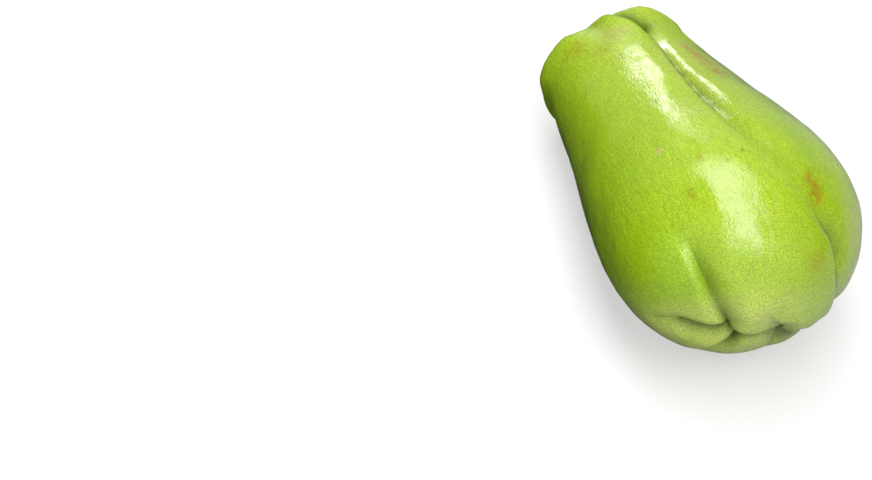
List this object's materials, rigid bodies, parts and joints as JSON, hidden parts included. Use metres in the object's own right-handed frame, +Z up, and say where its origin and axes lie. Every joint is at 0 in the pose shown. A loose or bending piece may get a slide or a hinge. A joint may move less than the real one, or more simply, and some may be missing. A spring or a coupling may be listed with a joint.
{
  "type": "chayote squash",
  "caption": "Whole pale green chayote squash lying on its broad side, with furrows, a mouth-like cleft at the blossom end and a dried stem stub in the stem-end dimple.",
  "frame": {"origin": "centre of the footprint box, on the plane the fruit rests on", "axes": "+Z up; the long axis runs along Y with the stem end toward +Y and the blossom end toward -Y; X is the width"},
  "size_m": [0.0758, 0.1278, 0.0686],
  "materials": {
    "skin": "waxy pale green skin, satin gloss, fine grain",
    "stem": "dry, fibrous, matt"
  },
  "bodies": {
    "root": {"fruit": "skin", "stem_stub": "stem"}
  },
  "joints": []
}
